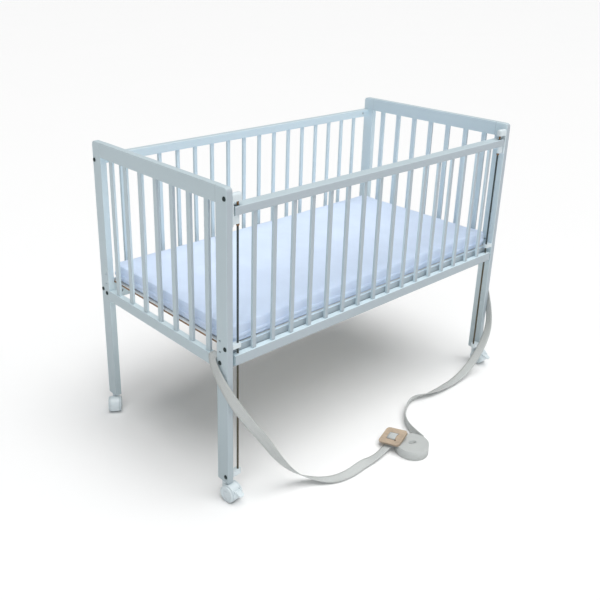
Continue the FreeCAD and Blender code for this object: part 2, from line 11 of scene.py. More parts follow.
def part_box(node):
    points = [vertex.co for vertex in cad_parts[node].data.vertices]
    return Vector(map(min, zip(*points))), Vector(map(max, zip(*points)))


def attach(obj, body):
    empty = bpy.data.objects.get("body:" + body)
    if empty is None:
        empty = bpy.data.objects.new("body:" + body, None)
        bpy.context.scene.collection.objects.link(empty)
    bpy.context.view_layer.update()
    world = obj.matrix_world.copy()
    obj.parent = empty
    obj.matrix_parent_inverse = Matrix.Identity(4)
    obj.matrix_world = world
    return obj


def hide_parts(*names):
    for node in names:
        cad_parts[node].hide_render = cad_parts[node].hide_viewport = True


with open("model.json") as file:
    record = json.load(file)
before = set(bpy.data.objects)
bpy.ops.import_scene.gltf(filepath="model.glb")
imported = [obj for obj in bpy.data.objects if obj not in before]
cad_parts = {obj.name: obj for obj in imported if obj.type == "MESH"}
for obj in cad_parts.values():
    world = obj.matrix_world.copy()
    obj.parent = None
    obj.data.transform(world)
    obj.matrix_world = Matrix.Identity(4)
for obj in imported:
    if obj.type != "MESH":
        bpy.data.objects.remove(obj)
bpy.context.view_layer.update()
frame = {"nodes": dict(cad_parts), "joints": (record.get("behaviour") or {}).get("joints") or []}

bl_info = {
    "name": "Bedside Cot",
    "version": (1, 0, 0),
    "blender": (4, 5, 0),
    "location": "View3D > Sidebar > Cot",
    "description": "Builds the soft parts, hardware and finishes of a bedside cot round its frame",
    "category": "Add Mesh",
}

POST_CORNER = Vector((-0.620, -0.323, 0.055))
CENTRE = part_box("post_front_left")[0] - POST_CORNER
MM = 0.001
FRAME_BODY = "frame"
CORNERS = {"fl": (-1, -1, -85.0), "fr": (1, -1, -93.0), "bl": (-1, 1, -125.0), "br": (1, 1, -108.0)}
BRAKED = ("fl", "fr")
MIDDLE_HEIGHT = 0.6
# How far from the cot's middle an end rail's joint line starts and ends
JOINT_LINE = (0.2768, 0.2777)

# The strap's routes in millimetres from the cot's middle: x, y, z, then the way its width lies
LEFT_ROUTE = [
    (-604, -262, 444.8, 0, -1, 0), (-617, -262, 445.5, 0, -1, 0), (-624.6, -262, 441, 0, -1, 0.05),
    (-624.6, -267, 422, 0.02, -0.99, 0.10), (-628.5, -286, 404, 0.10, -0.95, 0.25),
    (-629.5, -314, 377, 0.30, -0.85, 0.35), (-621, -338, 345, 0.50, -0.68, 0.45),
    (-597, -342, 301, 0.66, -0.50, 0.52), (-561, -345, 243, 0.70, -0.46, 0.54),
    (-515, -357, 173, 0.58, -0.60, 0.55), (-484, -375, 114, 0.34, -0.77, 0.54),
    (-455, -390, 71, 0.05, -0.88, 0.47), (-421, -403, 36, -0.10, -0.93, 0.35),
    (-386, -421, 17, -0.13, -0.97, 0.20), (-355, -445, 9, -0.14, -0.99, 0.05),
    (-317, -464, 6.5, -0.12, -0.98, -0.12), (-268, -472, 7, -0.10, -0.95, -0.28),
    (-212, -468, 9.5, 0.0, -0.92, -0.28), (-166, -470, 8.5, 0.05, -0.95, 0.22),
    (-125, -466, 9.0, 0.05, -0.94, 0.34), (-94, -460, 10, 0.03, -0.96, 0.24),
    (-72, -459, 18, 0.10, -0.98, 0.10), (-63, -459, 28.5, 0.10, -0.98, 0.10),
]
RIGHT_ROUTE = [
    (604, -262, 444.8, 0, -1, 0), (617, -262, 445.5, 0, -1, 0), (624.6, -262, 441, 0, -1, 0),
    (624.6, -266, 422, 0, -1, 0), (627, -277, 375, -0.05, -0.99, 0),
    (628, -296, 318, -0.18, -0.98, 0.08), (626, -318, 262, -0.30, -0.94, 0.14),
    (615, -341, 206, -0.32, -0.94, 0.14), (599, -353, 158, -0.22, -0.96, 0.10),
    (573, -358, 117, -0.08, -0.99, 0.05), (543, -358, 79, 0.02, -0.99, -0.02),
    (508, -356, 44, 0.06, -0.99, -0.06), (462, -357, 21, 0.05, -0.99, -0.02),
    (404, -359, 10, 0.03, -0.99, 0.06), (352, -359, 9, 0.0, -0.98, 0.18),
    (300, -358, 10, 0.0, -0.94, 0.34), (258, -353, 12, 0, -0.84, 0.54),
    (220, -344, 14, 0, -0.62, 0.78), (190, -341, 15.4, 0, -0.36, 0.93), (160, -346, 15.5, 0, -0.14, 0.99),
    (128, -361, 15.5, 0, -0.04, 1), (98, -380, 15.5, 0, 0, 1), (69, -401, 15.5, 0, 0, 1),
    (45, -432, 15.5, 0, 0, 1), (30, -472, 15.5, 0, 0, 1), (19.5, -516, 15.5, 0, 0, 1),
]
PLATE_PLACE = Vector((-63, -459, 34)) * MM
PLATE_ANGLES = (10.0, -18.0, -15.0)
ROLL_PLACE = Vector((-34, -517, 0)) * MM


# Sizes and colours a user would change

def colour(name, text, value):
    """A colour property with its own default."""
    return bpy.props.FloatVectorProperty(name=name, description=text, default=value, size=3,
                                         min=0.0, max=1.0, subtype="COLOR")


def length(name, text, value):
    """A length property in metres."""
    return bpy.props.FloatProperty(name=name, description=text, default=value, min=0.0,
                                   subtype="DISTANCE", unit="LENGTH")


class CotSizes(bpy.types.PropertyGroup):
    """Sizes of the pieces made here."""

    webbing_width: length("Webbing width", "Width of the anchor strap", 0.030)
    webbing_thickness: length("Webbing thickness", "Thickness of the anchor strap", 0.0018)
    roll_radius: length("Roll radius", "Outer radius of the rolled-up strap", 0.0515)
    roll_core: length("Roll core", "Radius of the hole in the roll", 0.0115)
    cover_swell: length("Cover swell", "How far the mattress may swell", 0.005)
    hem_height: length("Hem height", "Height of the cover's hem on the mattress's side", 0.011)
    hem_rise: length("Hem rise", "Height of the hem's middle above the board", 0.0215)
    bolt_head_radius: length("Bolt head radius", "Radius of the frame bolts' heads", 0.0065)
    wheel_radius: length("Wheel radius", "Radius of the caster wheels", 0.025)


class CotColours(bpy.types.PropertyGroup):
    """Colours of the finishes."""

    lacquer: colour("Lacquer", "Lacquer on the timber", (0.640, 0.752, 0.800))
    # Painted shade: the darker lacquer given to faces towards the front.
    lacquer_front_shade: colour("Lacquer front", "Lacquer on faces towards the front", (0.445, 0.497, 0.545))
    beech: colour("Beech", "Bare beech of the plate and dowels", (0.545, 0.430, 0.320))
    pine: colour("Pine", "Bare pine of the battens", (0.720, 0.560, 0.380))
    board_edge: colour("Board edge", "Raw edge of the mattress board", (0.300, 0.165, 0.085))
    steel: colour("Steel", "Blackened steel of the guide rods", (0.060, 0.080, 0.088))
    bolt: colour("Bolt", "Black finish of the bolts", (0.045, 0.065, 0.066))
    zinc: colour("Zinc", "Zinc plating", (0.560, 0.570, 0.580))
    nylon: colour("Nylon", "Moulded brackets and catches", (0.720, 0.800, 0.835))
    cover: colour("Cover", "Cotton cover of the mattress", (0.690, 0.800, 0.985))
    webbing: colour("Webbing", "Woven strap", (0.625, 0.650, 0.640))
    floor: colour("Floor", "Studio floor", (0.960, 0.960, 0.960))


def sizes():
    """The size properties of this scene."""
    return bpy.context.scene.cot_sizes


def colours():
    """The colour properties of this scene."""
    return bpy.context.scene.cot_colours


# Shader building

class Value:
    """A shader value that takes part in sums."""

    def __init__(self, finish, socket):
        self.finish = finish
        self.socket = socket

    def maths(self, operation, other, swapped=False):
        """Add the Math node of one sum."""
        first, second = (other, self) if swapped else (self, other)
        return self.finish.node("ShaderNodeMath", {"operation": operation}, {0: first, 1: second})

    def __add__(self, other):
        return self.maths("ADD", other)

    def __radd__(self, other):
        return self.maths("ADD", other, True)

    def __sub__(self, other):
        return self.maths("SUBTRACT", other)

    def __rsub__(self, other):
        return self.maths("SUBTRACT", other, True)

    def __mul__(self, other):
        return self.maths("MULTIPLY", other)

    def wave(self, pitch):
        """A smooth wave from 0 to 1 that repeats at this pitch."""
        angle = self * (2 * math.pi / pitch)
        return self.finish.node("ShaderNodeMath", {"operation": "SINE"}, {0: angle}) * 0.5 + 0.5

    def size(self):
        """The value without its sign."""
        return self.finish.node("ShaderNodeMath", {"operation": "ABSOLUTE"}, {0: self})

    def between(self, low, high):
        """0 below low, 1 above high, and smooth between them."""
        return self.finish.node("ShaderNodeMapRange", {"interpolation_type": "SMOOTHSTEP"},
                                {0: self, 1: low, 2: high, 3: 0.0, 4: 1.0})


class Finish:
    """A material that is being made."""

    def __init__(self, name):
        self.material = bpy.data.materials.new(name)
        self.material.use_nodes = True
        self.tree = self.material.node_tree
        self.tree.nodes.clear()
        self.shader = self.tree.nodes.new("ShaderNodeBsdfPrincipled")
        output = self.tree.nodes.new("ShaderNodeOutputMaterial")
        self.tree.links.new(self.shader.outputs[0], output.inputs[0])

    def put(self, socket, value):
        """Link a value to a socket, or set it there."""
        if isinstance(value, Value):
            self.tree.links.new(value.socket, socket)
        else:
            socket.default_value = value

    def node(self, kind, settings=None, inputs=None, output=0):
        """Add a node: its settings first, then its sockets' values or links."""
        node = self.tree.nodes.new(kind)
        for name, value in (settings or {}).items():
            setattr(node, name, value)
        for name, value in (inputs or {}).items():
            self.put(node.inputs[name], value)
        return Value(self, node.outputs[output])

    def place(self, output="Object", scale=(1, 1, 1), turn=(0, 0, 0)):
        """Coordinates on the piece, scaled and turned."""
        start = self.node("ShaderNodeTexCoord", output=output)
        return self.node("ShaderNodeMapping", inputs={"Vector": start, "Scale": scale, "Rotation": turn})

    def part(self, vector, axis):
        """One coordinate of a vector."""
        return self.node("ShaderNodeSeparateXYZ", inputs={0: vector}, output=axis)

    def noise(self, vector, scale=1.0, detail=3.0, roughness=0.5):
        """Cloudy variation from 0 to 1."""
        return self.node("ShaderNodeTexNoise", inputs={"Vector": vector, "Scale": scale, "Detail": detail,
                                                       "Roughness": roughness})

    def facing(self, direction):
        """How far the surface faces a direction, from -1 to 1."""
        normal = self.node("ShaderNodeNewGeometry", output="Normal")
        return self.node("ShaderNodeVectorMath", {"operation": "DOT_PRODUCT"}, {0: normal, 1: direction},
                         output="Value")

    def facing_middle(self):
        """1 where the surface faces the cot's middle, and 0 where it faces away."""
        middle = (CENTRE.x, CENTRE.y, MIDDLE_HEIGHT)
        away = self.node("ShaderNodeVectorMath", {"operation": "SUBTRACT"}, {0: self.place(), 1: middle})
        return 1 - self.facing(away).between(-0.12, 0.02)

    def mix(self, mask, first, second):
        """A colour between two colours."""
        first, second = [(*c, 1.0) if not isinstance(c, Value) else c for c in (first, second)]
        return self.node("ShaderNodeMix", {"data_type": "RGBA"}, {0: mask, 6: first, 7: second}, output=2)

    def relief(self, height, depth, strength=1.0):
        """Bump the surface by a height from 0 to 1 that is worth a depth in metres."""
        bump = self.node("ShaderNodeBump", inputs={"Strength": strength, "Distance": depth, "Height": height})
        self.put(self.shader.inputs["Normal"], bump)

    def surface(self, base, roughness, **others):
        """Set the shader's sockets, and hand the material over."""
        self.put(self.shader.inputs["Base Color"], base if isinstance(base, Value) else (*base, 1.0))
        self.put(self.shader.inputs["Roughness"], roughness)
        for name, value in others.items():
            self.put(self.shader.inputs[name.replace("_", " ").title().replace("Ior", "IOR")], value)
        return self.material


def shaded(tint, share):
    """A colour made darker or lighter."""
    return tuple(min(1.0, channel * share) for channel in tint)


def lacquered_timber(axis):
    """Satin lacquer over timber whose grain runs along one axis, with painted light on faces towards the
    cot's middle and painted shade on faces turned away, on front faces and towards the floor.
    """
    finish = Finish("lacquered_timber_" + axis)
    tint = colours().lacquer
    across, along = 62.0, 2.2
    scale = [along if name == axis else across for name in "xyz"]
    grain = finish.noise(finish.place(scale=scale), 1.0, 4.0, 0.6)
    pores = finish.noise(finish.place(scale=[value * 6 for value in scale]), 1.0, 2.0, 0.5)
    clouds = finish.noise(finish.place(), 9.0, 3.0)
    boards = finish.noise(finish.place(), 2.3, 1.0)
    tone = grain * 0.30 + clouds * 0.35 + boards * 0.35
    # Painted light and shade: faces towards the cot's middle get a lighter copy of the lacquer, faces turned
    # away a darker copy.
    inner = finish.mix(tone.between(0.30, 0.70), shaded(tint, 1.09), shaded(tint, 1.12))
    outer = finish.mix(tone.between(0.30, 0.70), shaded(tint, 0.865), shaded(tint, 0.895))
    # Painted shade: faces towards the front get the darker front lacquer.
    front_shade_mask = finish.facing((0, -1, 0)).between(0.5, 0.9) * 0.75
    outer = finish.mix(front_shade_mask, outer, colours().lacquer_front_shade)
    base = finish.mix(finish.facing_middle(), outer, inner)
    # Painted shade: the lacquer gets darker towards the floor, in cloudy patches.
    foot = 1 - finish.part(finish.place(), 2).between(0.05, 0.60)
    base = finish.mix(foot * (0.6 + clouds * 0.4), base, shaded(tint, 0.70))
    if axis == "y":
        joint = (finish.part(finish.place(), 1) - CENTRE.y).size().between(*JOINT_LINE)
        base = finish.mix(joint, base, shaded(tint, 0.55))
    finish.relief(grain * 0.55 + pores * 0.25 + clouds * 0.2, 0.00006, 0.4)
    return finish.surface(base, clouds * 0.10 + grain * 0.06 + 0.42, specular_ior_level=0.3)


def bare_timber(name, tint, turn=(0, 0, 0), scale=(9, 120, 120), edge=None, up=(0, 0, 1), hole=None):
    """Waxed bare timber; where those are given, its side faces get a darker copy of the tint as painted
    shade, and a dark disc is painted as the shade inside a hole.
    """
    finish = Finish(name)
    grain = finish.noise(finish.place(scale=scale, turn=turn), 1.0, 5.0, 0.65)
    fibres = finish.noise(finish.place(scale=[value * 5 for value in scale], turn=turn), 1.0, 2.0, 0.5)
    clouds = finish.noise(finish.place(), 22.0, 2.0)
    tone = (grain * 0.6 + fibres * 0.25 + clouds * 0.3).between(0.35, 0.80)
    base = finish.mix(tone, shaded(tint, 0.80), shaded(tint, 1.12))
    # Painted shade: a dark disc where the plate's hole is.
    if hole:
        apart = finish.node("ShaderNodeVectorMath", {"operation": "DISTANCE"}, {0: finish.place(), 1: hole},
                            output="Value")
        base = finish.mix(1 - apart.between(0.0022, 0.0032), base, (0.055, 0.025, 0.015))
    # Painted shade: faces that do not face up get the darker edge colour.
    if edge:
        side = 1 - finish.facing(up).size().between(0.35, 0.75)
        base = finish.mix(side, base, edge)
    finish.relief(grain * 0.5 + fibres * 0.5, 0.00025, 0.5)
    return finish.surface(base, grain * 0.2 + 0.48)


def faced_board():
    """A thin board, white on both faces and raw along its edges."""
    finish = Finish("faced_board")
    fibres = finish.noise(finish.place(scale=(60, 60, 900)), 1.0, 3.0, 0.6)
    raw = finish.mix(fibres, shaded(colours().board_edge, 0.7), shaded(colours().board_edge, 1.35))
    clouds = finish.noise(finish.place(), 14.0, 2.0)
    white = finish.mix(clouds, (0.70, 0.71, 0.69), (0.76, 0.77, 0.75))
    face = 1 - finish.facing((1, 0, 0)).size().between(0.4, 0.7)
    finish.relief(fibres, 0.0003, 0.4)
    return finish.surface(finish.mix(face, raw, white), 0.5 + clouds * 0.12)


def blackened_steel():
    """Oiled dark steel, browner and duller towards the floor."""
    finish = Finish("blackened_steel")
    height = finish.part(finish.place(), 2)
    drawn = finish.noise(finish.place(scale=(900, 900, 14)), 1.0, 2.0)
    blotch = finish.noise(finish.place(scale=(60, 60, 16)), 1.0, 4.0, 0.7)
    age = (1 - height.between(0.36, 0.52)) * 0.75 + blotch * 0.25
    base = finish.mix(age, colours().steel, (0.105, 0.088, 0.058))
    collar = height.between(0.8135, 0.8160) * (1 - height.between(0.8212, 0.8225))
    collar = collar + height.between(0.868, 0.870)
    base = finish.mix(collar, base, (0.235, 0.125, 0.055))
    finish.relief(drawn, 0.00008, 0.4)
    return finish.surface(base, blotch * 0.25 + 0.30, metallic=0.75)


def plated_metal(name, tint, roughness):
    """Plated metal with fine blotches."""
    finish = Finish(name)
    blotch = finish.noise(finish.place(), 160.0, 4.0, 0.6)
    base = finish.mix(blotch, shaded(tint, 0.75), shaded(tint, 1.25))
    finish.relief(blotch, 0.00006, 0.4)
    return finish.surface(base, blotch * 0.2 + roughness, metallic=0.9)


def moulded_plastic(name, tint, roughness, coat, low_darkening=0.0):
    """Moulded plastic with a fine orange-peel, darker in specks near its foot."""
    finish = Finish(name)
    peel = finish.noise(finish.place(), 420.0, 2.0)
    clouds = finish.noise(finish.place(), 35.0, 3.0)
    base = finish.mix(clouds, shaded(tint, 0.96), shaded(tint, 1.03))
    # Darker in specks over the lowest 16 mm, towards the floor.
    if low_darkening:
        low = 1 - finish.part(finish.place(), 2).between(0.001, 0.016)
        specks = finish.noise(finish.place(), 90.0, 4.0, 0.7).between(0.35, 0.75)
        base = finish.mix(low * specks * low_darkening, base, (0.23, 0.21, 0.19))
    finish.relief(peel, 0.00006, 0.35)
    return finish.surface(base, clouds * 0.15 + roughness, coat_weight=coat, coat_roughness=0.12)


def cotton_cover():
    """Plain woven cotton."""
    finish = Finish("cotton_cover")
    tint = colours().cover
    place = finish.place()
    x, y, z = [finish.part(place, axis) for axis in range(3)]
    weave = x.wave(0.0011) * (y + z * 1.3).wave(0.0011)
    slubs = finish.noise(finish.place(scale=(70, 420, 420)), 1.0, 3.0, 0.6)
    crush = finish.noise(place, 16.0, 4.0, 0.55)
    soft = finish.noise(place, 4.0, 2.0)
    base = finish.mix((crush * 0.5 + soft * 0.5).between(0.3, 0.7), shaded(tint, 0.965), shaded(tint, 1.025))
    finish.relief(weave * 0.10 + slubs * 0.10 + crush * 0.80, 0.0016, 0.35)
    return finish.surface(base, 0.82 + slubs * 0.1, sheen_weight=0.25, sheen_roughness=0.5)


def woven_webbing():
    """Herringbone webbing, read along and across the strap from its own UV map in metres."""
    finish = Finish("woven_webbing")
    tint = colours().webbing
    place = finish.place("UV")
    across, along = finish.part(place, 0), finish.part(place, 1)
    zigzag = finish.node("ShaderNodeMath", {"operation": "PINGPONG"}, {0: across + 0.06, 1: 0.0075})
    ribs = (along + zigzag * 0.9).wave(0.0026)
    ends = across.wave(0.0013)
    edge = across.size().between(0.0132, 0.0142)
    height = (ribs * 0.7 + ends * 0.3) * (1 - edge) + edge * ends * 0.9
    wear = finish.noise(finish.place("UV", (30, 12, 1)), 1.0, 3.0)
    # Painted shade: the weave's lower parts get a darker copy of the webbing's tint.
    base = finish.mix(height.between(0.1, 0.8), shaded(tint, 0.80), shaded(tint, 1.05))
    base = finish.mix(wear.between(0.45, 0.75) * 0.25, base, shaded(tint, 0.78))
    finish.relief(height, 0.0005, 0.8)
    return finish.surface(base, 0.78 - height * 0.12, sheen_weight=0.15, sheen_roughness=0.45)


# Shapes

def smooth_line(points, steps=8):
    """Points along the smooth line that a row of control points steers."""
    curve = bpy.data.curves.new("route", "CURVE")
    curve.dimensions = "3D"
    curve.resolution_u = steps
    spline = curve.splines.new("NURBS")
    spline.points.add(len(points) - 1)
    for control, point in zip(spline.points, points):
        control.co = (*point, 1.0)
    spline.order_u = 3
    spline.use_endpoint_u = True
    holder = bpy.data.objects.new("route", curve)
    mesh = bpy.data.meshes.new_from_object(holder)
    line = [vertex.co.copy() for vertex in mesh.vertices]
    bpy.data.objects.remove(holder)
    bpy.data.curves.remove(curve)
    bpy.data.meshes.remove(mesh)
    return line


def finished(name, shape, material, smooth=True):
    """Turn a bmesh into an object that is in the scene."""
    mesh = bpy.data.meshes.new(name)
    shape.to_mesh(mesh)
    shape.free()
    mesh.materials.append(material)
    mesh.polygons.foreach_set("use_smooth", [smooth] * len(mesh.polygons))
    piece = bpy.data.objects.new(name, mesh)
    bpy.context.scene.collection.objects.link(piece)
    return piece


def modifier(piece, kind, **settings):
    """Add a modifier with its settings."""
    made = piece.modifiers.new(kind.title(), kind)
    for name, value in settings.items():
        setattr(made, name, value)
    return made


def baked(piece):
    """Put what a piece's modifiers make into its mesh, and take them off."""
    graph = bpy.context.evaluated_depsgraph_get()
    mesh = bpy.data.meshes.new_from_object(piece.evaluated_get(graph))
    piece.modifiers.clear()
    old = piece.data
    piece.data = mesh
    bpy.data.meshes.remove(old)


def ribbon(name, line, ways, width, thick, material, rows=4, bow=0.0):
    """A strip of cloth along a line; ways has the direction of its width at each point."""
    travelled = [0.0]
    for here, there in zip(line, line[1:]):
        travelled.append(travelled[-1] + (there - here).length)
    shape = bmesh.new()
    uv = shape.loops.layers.uv.new("UVMap")
    last = len(line) - 1
    bmesh.ops.create_grid(shape, x_segments=last, y_segments=rows, size=0.5)
    places = {vertex: (round((vertex.co.x + 0.5) * last), vertex.co.y) for vertex in shape.verts}
    for face in shape.faces:
        for loop in face.loops:
            column, share = places[loop.vert]
            loop[uv].uv = (share * width, travelled[column])
    for vertex, (column, share) in places.items():
        ahead = line[min(column + 1, last)] - line[max(column - 1, 0)]
        way = ways[column]
        way = (way - ahead * (way.dot(ahead) / ahead.length_squared)).normalized()
        hollow = ahead.normalized().cross(way) * (bow * (4 * share * share - 1))
        vertex.co = line[column] + way * (share * width) + hollow
    piece = finished(name, shape, material)
    modifier(piece, "SOLIDIFY", thickness=thick, offset=0.0, use_even_offset=True)
    return piece


def turned(profile, segments, hexed=()):
    """A closed shape spun about Z from (radius, height) points; the hexed points make a six-sided hole."""
    shape = bmesh.new()
    points = [shape.verts.new((radius, 0, height)) for radius, height in profile]
    edges = [shape.edges.new(pair) for pair in zip(points, points[1:])]
    bmesh.ops.spin(shape, geom=points + edges, axis=(0, 0, 1), cent=(0, 0, 0), steps=segments,
                   angle=2 * math.pi, use_merge=True)
    bmesh.ops.remove_doubles(shape, verts=shape.verts, dist=1e-6)
    for radius, height in [profile[index] for index in hexed]:
        for vertex in shape.verts:
            if abs(vertex.co.z - height) < 1e-6 and abs(vertex.co.xy.length - radius) < 1e-6:
                angle = math.atan2(vertex.co.y, vertex.co.x) % (math.pi / 3) - math.pi / 6
                vertex.co.xy *= math.cos(math.pi / 6) / math.cos(angle)
    bmesh.ops.recalc_face_normals(shape, faces=shape.faces)
    return shape


def many(name, source, matrices, material):
    """Copies of one shape, placed by matrices, as one piece."""
    mesh = bpy.data.meshes.new(name)
    source.to_mesh(mesh)
    source.free()
    shape = bmesh.new()
    for matrix in matrices:
        start = len(shape.verts)
        shape.from_mesh(mesh)
        shape.verts.ensure_lookup_table()
        bmesh.ops.transform(shape, matrix=matrix, verts=shape.verts[start:])
    bpy.data.meshes.remove(mesh)
    return finished(name, shape, material)


def solids_of(node):
    """(lowest corner, highest corner) of each separate solid of a CAD node."""
    shape = bmesh.new()
    shape.from_mesh(frame["nodes"][node].data)
    bmesh.ops.remove_doubles(shape, verts=shape.verts, dist=1e-6)
    left = set(shape.verts)
    boxes = []
    while left:
        island, edge = set(), [left.pop()]
        while edge:
            vertex = edge.pop()
            island.add(vertex)
            edge += [other for e in vertex.link_edges if (other := e.other_vert(vertex)) in left]
            left -= set(edge)
        spans = [[vertex.co[axis] for vertex in island] for axis in range(3)]
        boxes.append((Vector(map(min, spans)), Vector(map(max, spans))))
    shape.free()
    return sorted(boxes, key=lambda box: tuple(box[0]))


def pointing(place, direction):
    """A matrix that stands a Z-up shape at a place, along a direction."""
    return Matrix.Translation(place) @ Vector(direction).to_track_quat("Z", "X").to_matrix().to_4x4()


def creased(piece, degrees):
    """Keep edges sharper than an angle crisp while the rest shades smoothly."""
    shape = bmesh.new()
    shape.from_mesh(piece.data)
    for edge in shape.edges:
        edge.smooth = edge.calc_face_angle(0.0) < math.radians(degrees)
    shape.to_mesh(piece.data)
    shape.free()


def plate_matrix():
    """Where the anchor plate lies, and how it is turned."""
    yaw, pitch, roll = [math.radians(angle) for angle in PLATE_ANGLES]
    turn = Matrix.Rotation(yaw, 4, "Z") @ Matrix.Rotation(pitch, 4, "Y") @ Matrix.Rotation(roll, 4, "X")
    return Matrix.Translation(CENTRE + PLATE_PLACE) @ turn


def painted(nodes, material):
    """Give CAD nodes a finish."""
    for name in nodes:
        node = frame["nodes"][name]
        node.data.materials.clear()
        node.data.materials.append(material)


# Operators

class COT_OT_timber(bpy.types.Operator):
    """Finish the cot's posts, rails, slats and base"""

    bl_idname = "cot.timber"
    bl_label = "Timber"

    def execute(self, context):
        upright = ["post_front_left", "post_front_right", "post_back_left", "post_back_right",
                   "end_slats_left", "end_slats_right", "back_slats", "drop_slats"]
        endwise = ["end_top_rail_left", "end_top_rail_right", "end_bottom_rail_left", "end_bottom_rail_right"]
        lengthwise = ["back_top_rail", "back_bottom_rail", "drop_top_rail", "drop_bottom_rail",
                      "base_rail_front", "base_rail_back"]
        for nodes, axis in ((upright, "z"), (endwise, "y"), (lengthwise, "x")):
            painted(nodes, lacquered_timber(axis))
        painted(["mattress_board"], faced_board())
        painted(["base_battens"], bare_timber("bare_pine", colours().pine, scale=(60, 3, 60)))
        beech = bare_timber("bare_beech", colours().beech, scale=(80, 5, 80))
        painted(["end_rail_dowels"], beech)
        return {"FINISHED"}


class COT_OT_hardware(bpy.types.Operator):
    """Finish the guide rods, brackets and catches, and make the socket bolts"""

    bl_idname = "cot.hardware"
    bl_label = "Guides and bolts"

    def execute(self, context):
        nylon = moulded_plastic("white_nylon", colours().nylon, 0.34, 0.2)
        painted(["rod_top_brackets", "rod_mid_guides", "rod_foot_brackets", "catch_left", "catch_right",
                 "rod_bushes"], nylon)
        painted(["guide_rod_left", "guide_rod_right"], blackened_steel())
        zinc = plated_metal("zinc_plating", colours().zinc, 0.28)
        painted(["barrel_nuts", "caster_stems"] + ["caster_axle_" + corner for corner in CORNERS], zinc)
        black = plated_metal("black_zinc", colours().bolt, 0.32)
        for node in ("frame_bolts", "bracket_bolts"):
            self.bolts(node, black)
        return {"FINISHED"}

    def bolts(self, node, material):
        """Domed bolts with six-sided sockets, where a node's bolts are."""
        boxes = solids_of(node)
        low, high = boxes[0]
        head, rise = sizes().bolt_head_radius, 0.0026
        reach = high.x - low.x - 0.0022
        shank = 0.0028 if reach > 0.05 else 0.0023
        profile = [(0, 0.0006), (0.0024, 0.0006), (0.0024, rise), (0.0029, rise * 1.02),
                   (head * 0.62, rise * 0.98), (head * 0.84, rise * 0.82), (head * 0.96, rise * 0.52),
                   (head, rise * 0.22), (head, 0), (shank, 0), (shank, 0.001 - reach),
                   (shank * 0.7, -reach), (0, -reach)]
        places = []
        for low, high in boxes:
            side = -1 if low.x < CENTRE.x else 1
            face = CENTRE.x + side * abs(POST_CORNER.x)
            places.append(pointing((face, (low.y + high.y) / 2, (low.z + high.z) / 2), (side, 0, 0)))
        bolt = turned(profile, 24, hexed=(1, 2))
        piece = many(node.replace("bolts", "socket_bolts"), bolt, places, material)
        creased(piece, 40.0)
        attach(piece, FRAME_BODY)
        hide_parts(node)


class COT_OT_casters(bpy.types.Operator):
    """Finish the caster hoods and brake pedals, and turn the twin wheels"""

    bl_idname = "cot.casters"
    bl_label = "Casters"

    def execute(self, context):
        plastic = moulded_plastic("caster_plastic", colours().nylon, 0.26, 0.4, low_darkening=0.35)
        hoods = ["caster_hood_" + corner for corner in CORNERS]
        painted(hoods + ["brake_pedal_" + corner for corner in BRAKED], plastic)
        tread = moulded_plastic("wheel_plastic", shaded(colours().nylon, 0.97), 0.38, 0.15, low_darkening=0.6)
        joints = {joint["name"]: joint for joint in frame["joints"]}
        for corner in CORNERS:
            for side, sign in (("a", -1), ("b", 1)):
                joint = joints["wheel_%s_spin_%s" % (side, corner)]
                self.wheel(side, corner, Vector(joint["pos_m"]), Vector(joint["axis"]) * sign, tread)
        return {"FINISHED"}

    def wheel(self, side, corner, hub, axis, material):
        """One wheel: grooved tread, recessed face and a domed cap."""
        radius = sizes().wheel_radius
        profile = [(0.0031, 0.0061), (0.0229, 0.0061), (0.0229, 0.0154), (0.0233, 0.0157),
                   (radius - 0.0008, 0.0158), (radius, 0.0165), (radius, 0.0176), (radius - 0.0005, 0.0179),
                   (radius - 0.0005, 0.0183), (radius, 0.0186), (radius - 0.0002, 0.0196),
                   (radius - 0.0012, 0.0206), (radius - 0.0030, 0.0210), (radius - 0.0072, 0.0210),
                   (radius - 0.0080, 0.0206), (radius - 0.0084, 0.0197), (radius - 0.0090, 0.0194),
                   (0.0100, 0.0194), (0.0094, 0.0197), (0.0088, 0.0205), (0.0076, 0.0209),
                   (0.0045, 0.02105), (0, 0.0211), (0, 0.0199), (0.0031, 0.0197), (0.0031, 0.0061)]
        name = "caster_wheel_turned_%s_%s" % (side, corner)
        piece = many(name, turned(profile, 64), [pointing(hub, axis)], material)
        creased(piece, 50.0)
        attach(piece, "wheel_%s_%s" % (side, corner))
        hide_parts("caster_wheel_%s_%s" % (side, corner))


